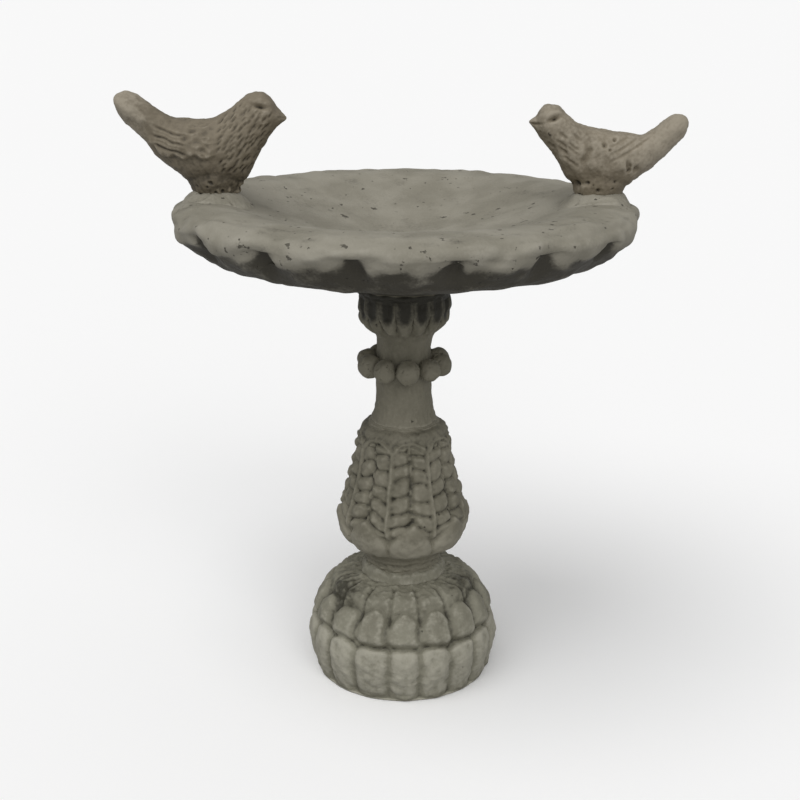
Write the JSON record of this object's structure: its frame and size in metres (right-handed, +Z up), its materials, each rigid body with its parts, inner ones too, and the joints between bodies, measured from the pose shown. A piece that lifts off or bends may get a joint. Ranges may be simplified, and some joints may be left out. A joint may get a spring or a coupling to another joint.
{
  "type": "miniature bird bath",
  "caption": "Miniature cast bird bath: scalloped bowl with perched birds, lifting off and turning on a leaf-wrapped pedestal with a petalled domed foot.",
  "frame": {"origin": "centre of the foot's underside, on the axis of the pedestal", "axes": "+Z up along the pedestal's axis; the birds perch along X, the bird with the raised tail at -X, and -Y is the front"},
  "size_m": [0.0771, 0.064, 0.0847],
  "materials": {
    "casting": "matte",
    "bird_casting": "matte",
    "bedding": "matte",
    "wire": "satin"
  },
  "bodies": {
    "pedestal": {"foot": "casting", "baluster": "casting", "column": "casting", "beads": "casting", "core_rod": "wire", "foot_bedding": "bedding", "baluster_bedding": "bedding"},
    "dowel": {"bowl_dowel": "wire"},
    "bath": {"bowl": "casting", "left_bird": "bird_casting", "right_bird": "bird_casting", "left_bird_pegs": "wire", "right_bird_pegs": "wire", "left_bird_bedding": "bedding", "right_bird_bedding": "bedding"}
  },
  "joints": [
    {"name": "bowl_turn", "type": "hinge", "parent": "pedestal", "child": "dowel", "pos_m": [0, 0, 0.0583], "axis": [0, 0, 1], "continuous": true},
    {"name": "bowl_lift", "type": "slide", "parent": "dowel", "child": "bath", "axis": [0, 0, 1], "range_m": [0, 0.03]}
  ]
}
